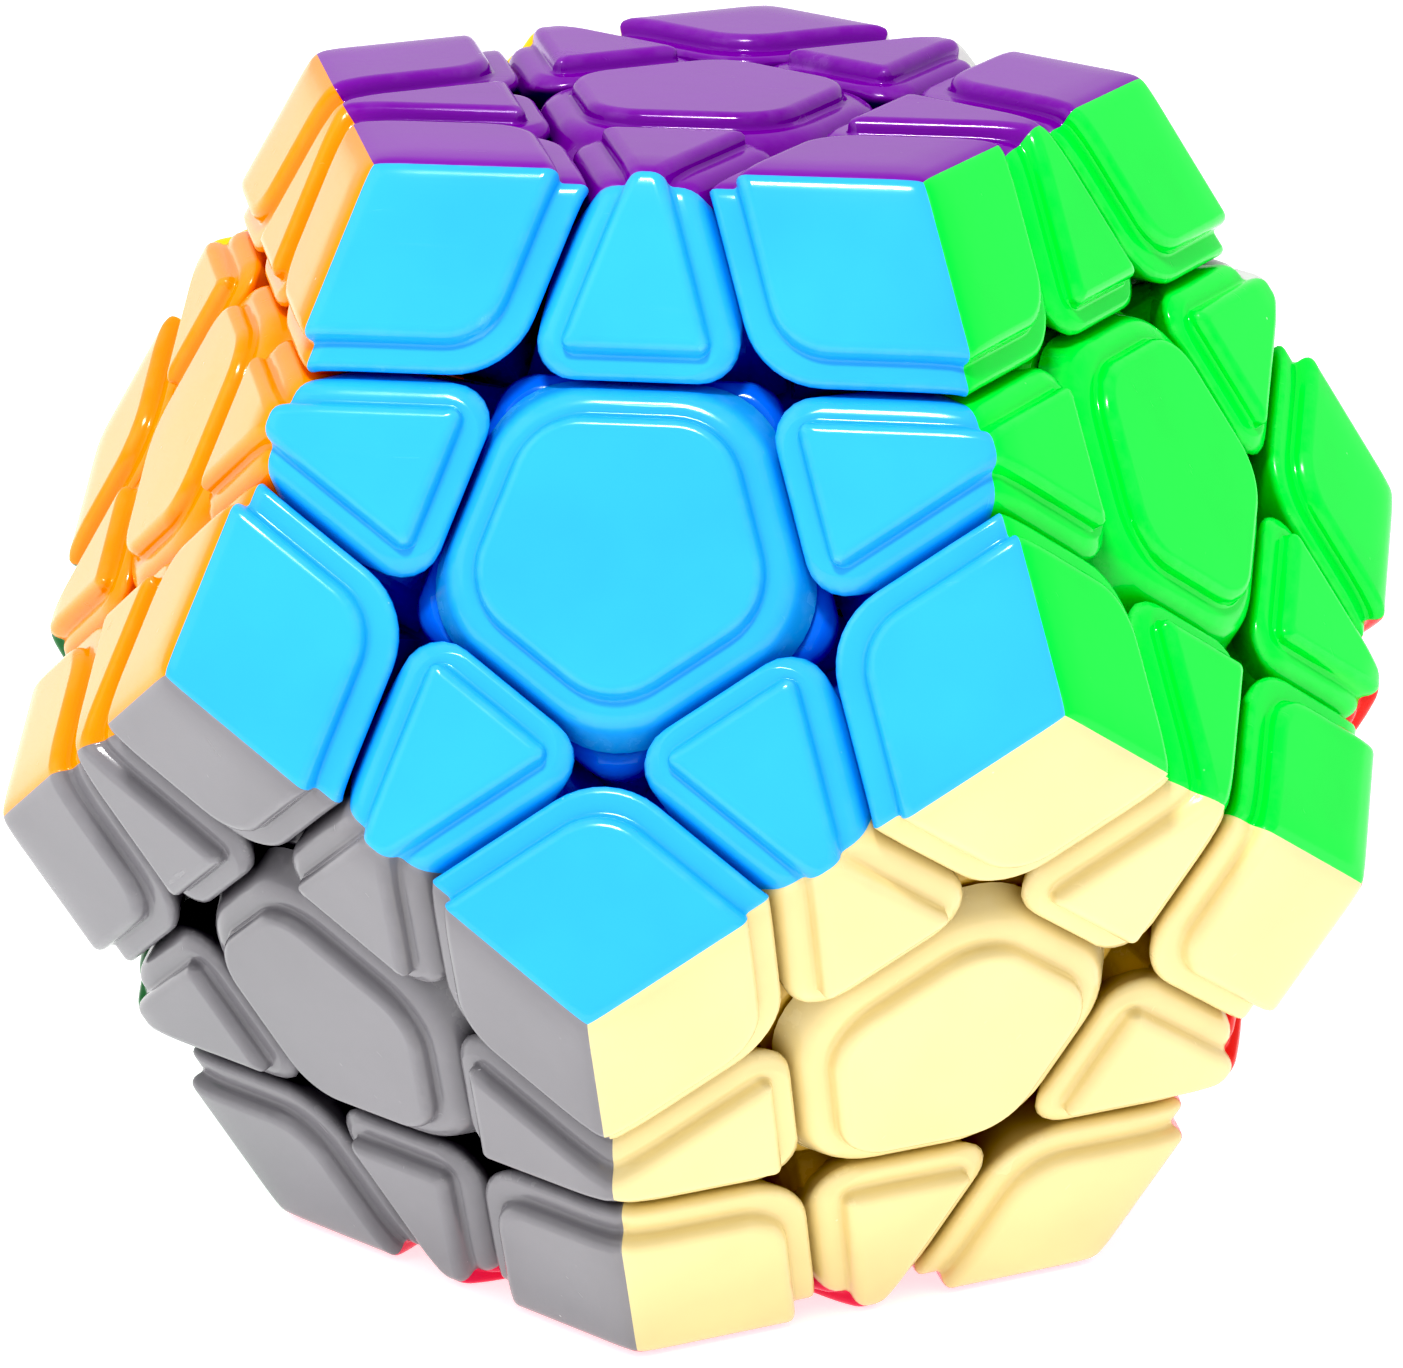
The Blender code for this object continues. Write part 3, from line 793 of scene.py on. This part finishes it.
COLOURS = {
    "purple": "8418a8",
    "pink": "e81c58",
    "cyan": "42b9f8",
    "lime": "04e84e",
    "white": "dadad8",
    "yellow": "ffd800",
    "orange": "ff9e10",
    "cream": "ebdaa6",
    "red": "f02010",
    "blue": "1030d0",
    "green": "007832",
    "grey": "8e8c90",
}
PLASTICS = {face: plastic(face + "_plastic", srgb(COLOURS[face])) for face in NORMALS}
# Shaded copies of the plastics, with painted shade: darker, deeper colours for the skirts, hubs and
# stems that sit down in the gaps
SHADED_PLASTICS = {face: plastic(face + "_shaded_plastic", deepened(srgb(COLOURS[face]), 2.1))
                 for face in NORMALS}
CORE_PLASTIC = dark_nylon("core_plastic", "101014")
STEEL = plated_steel("steel", "b4b4b8")


# ---------------------------------------------------------------- placing
def show(name, mesh, node):
    """Links a finished piece, made in the puzzle's own frame, and ties it to its CAD node."""
    piece = bpy.data.objects.new(name, mesh)
    bpy.context.scene.collection.objects.link(piece)
    mesh.transform(Matrix.Translation(CENTRE))
    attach(piece, BODY_OF[node])
    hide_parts(node)
    return piece


def turn_to(face, ahead):
    """Turns a face's own frame onto that face, its +X to the given direction."""
    up = NORMALS[face]
    across = (ahead - ahead.dot(up) * up).normalized()
    return Matrix((across, up.cross(across), up)).transposed().to_4x4()


def place(name, pattern, face, ahead, node):
    """Copies a coloured pattern piece onto a face, its +X to the given direction."""
    mesh = pattern.copy()
    mesh.name = name
    mesh.transform(turn_to(face, ahead))
    return show(name, mesh, node)


def edge_ends(faces):
    return [face for face in NORMALS
            if face not in faces and all(face in neighbours(other) for other in faces)]


def build():
    corner, edge, cap, base = corner_skin(), edge_skin(), cap_skin(), base_skin()
    patterns = {}
    for face in NORMALS:
        patterns[face] = {"corner": corner.mesh("corner_pattern", PLASTICS[face]),
                          "edge": edge.mesh("edge_pattern", PLASTICS[face]),
                          "cap": cap.mesh("cap_pattern", PLASTICS[face]),
                          # Painted shade: skirts and hubs take the shaded copy of their face's plastic
                          "base": base.mesh("base_pattern", SHADED_PLASTICS[face])}
    for node in sorted(frame["nodes"]):
        faces = node.split("_")[1:]
        if node.startswith("corner_"):
            middle = sum((NORMALS[face] for face in faces), Vector())
            for face in faces:
                place(f"{node}.{face}", patterns[face]["corner"], face, middle, node)
            show(f"{node}.stem", stem_mesh(f"{node}.stem", faces, (), CORNER_STEM_TOP), node)
        elif node.startswith("edge_"):
            for face, other in (faces, faces[::-1]):
                place(f"{node}.{face}", patterns[face]["edge"], face, NORMALS[other], node)
            show(f"{node}.stem", stem_mesh(f"{node}.stem", faces, edge_ends(faces), EDGE_STEM_TOP),
                 node)
    for face in NORMALS:
        ahead = NORMALS[neighbours(face)[0]]
        for kind in ("cap", "base"):
            own = f"centre_{kind}_{face}"
            node = own if own in frame["nodes"] else "core_with_fixed_centres"
            place(f"centre_{kind}.{face}", patterns[face][kind], face, ahead, node)
    build_core()
    for node in sorted(frame["nodes"]):
        if node.startswith("tension_screw"):
            for slot in frame["nodes"][node].material_slots:
                slot.material = STEEL


def build_core():
    """The core's twelve patches, joined into one closed solid."""
    patch = core_patch().mesh("core_patch", CORE_PLASTIC)
    joined = bmesh.new()
    for face in NORMALS:
        part = patch.copy()
        part.transform(turn_to(face, NORMALS[neighbours(face)[0]]))
        joined.from_mesh(part)
    bmesh.ops.remove_doubles(joined, verts=joined.verts, dist=0.02 * MM)
    bmesh.ops.recalc_face_normals(joined, faces=joined.faces)
    mesh = bpy.data.meshes.new("core")
    joined.to_mesh(mesh)
    joined.free()
    mesh.materials.append(CORE_PLASTIC)
    show("core", mesh, "core_with_fixed_centres")


# ---------------------------------------------------------------- floor, light and camera
WORLD_STRENGTH = 0.84
# name, azimuth, elevation, distance and size in metres, power in watts
LIGHTS = (
    ("key", -8, 63, 0.7, (0.13, 0.09), 2.8),
    ("left", -60, 40, 0.8, (0.5, 0.5), 0.5),
)
FLOOR_ALBEDO = 0.7
FLOOR_GLOW = 0.75
# A print's contrast: what is darker than this, in linear light, goes to black
BLACK_POINT = 0.03
PRINT_GAMMA = 0.8
CAMERA_AZIMUTH, CAMERA_ELEVATION, CAMERA_ROLL = 8.72, 17.47, -0.08
CAMERA_DISTANCE = 357 * MM
CAMERA_SHIFT = (-0.21 * MM, -1.78 * MM)
CAMERA_LENS = 158.2


def make_floor():
    mesh = bpy.data.meshes.new("floor")
    size = 6.0
    mesh.from_pydata([(-size, -size, 0), (size, -size, 0), (size, size, 0), (-size, size, 0)],
                     [], [(0, 1, 2, 3)])
    floor = bpy.data.objects.new("floor", mesh)
    bpy.context.scene.collection.objects.link(floor)
    material = bpy.data.materials.new("floor")
    material.use_nodes = True
    shader = material.node_tree.nodes["Principled BSDF"]
    shader.inputs["Base Color"].default_value = (FLOOR_ALBEDO, FLOOR_ALBEDO, FLOOR_ALBEDO, 1)
    shader.inputs["Roughness"].default_value = 0.6
    shader.inputs["Emission Color"].default_value = (1, 1, 1, 1)
    shader.inputs["Emission Strength"].default_value = FLOOR_GLOW
    mesh.materials.append(material)


def area_light(name, azimuth, elevation, distance, size, power):
    """A rectangular softbox that faces the puzzle from an azimuth measured from -Y towards +X."""
    light = bpy.data.lights.new(name, "AREA")
    light.shape = "RECTANGLE"
    light.size, light.size_y = size
    light.energy = power
    lamp = bpy.data.objects.new(name, light)
    bpy.context.scene.collection.objects.link(lamp)
    away = ring_normal(math.radians(azimuth), math.radians(elevation))
    lamp.location = CENTRE + away * distance
    lamp.rotation_euler = away.to_track_quat("Z", "Y").to_euler()


def make_lights():
    world = bpy.data.worlds.new("studio")
    bpy.context.scene.world = world
    world.use_nodes = True
    background = world.node_tree.nodes["Background"]
    background.inputs["Color"].default_value = (1, 1, 1, 1)
    background.inputs["Strength"].default_value = WORLD_STRENGTH
    for name, azimuth, elevation, distance, size, power in LIGHTS:
        area_light(name, azimuth, elevation, distance, size, power)


def make_camera():
    data = bpy.data.cameras.new("camera")
    data.sensor_width = 36
    data.sensor_fit = "HORIZONTAL"
    data.lens = CAMERA_LENS
    data.clip_start = 0.01
    camera = bpy.data.objects.new("camera", data)
    bpy.context.scene.collection.objects.link(camera)
    back = ring_normal(math.radians(CAMERA_AZIMUTH), math.radians(CAMERA_ELEVATION))
    right = Vector((0, 0, 1)).cross(back).normalized()
    up = back.cross(right)
    turn = Matrix((right, up, back)).transposed().to_4x4()
    roll = Matrix.Rotation(math.radians(CAMERA_ROLL), 4, "Z")
    spot = CENTRE + right * CAMERA_SHIFT[0] + up * CAMERA_SHIFT[1] + back * CAMERA_DISTANCE
    camera.matrix_world = Matrix.Translation(spot) @ turn @ roll
    bpy.context.scene.camera = camera


build()
make_floor()
make_lights()
make_camera()
bpy.context.scene.view_settings.view_transform = "Standard"
bpy.context.scene.view_settings.look = "None"
bpy.context.scene.view_settings.gamma = PRINT_GAMMA
bpy.context.scene.view_settings.use_curve_mapping = True
bpy.context.scene.view_settings.curve_mapping.black_level = [BLACK_POINT] * 3
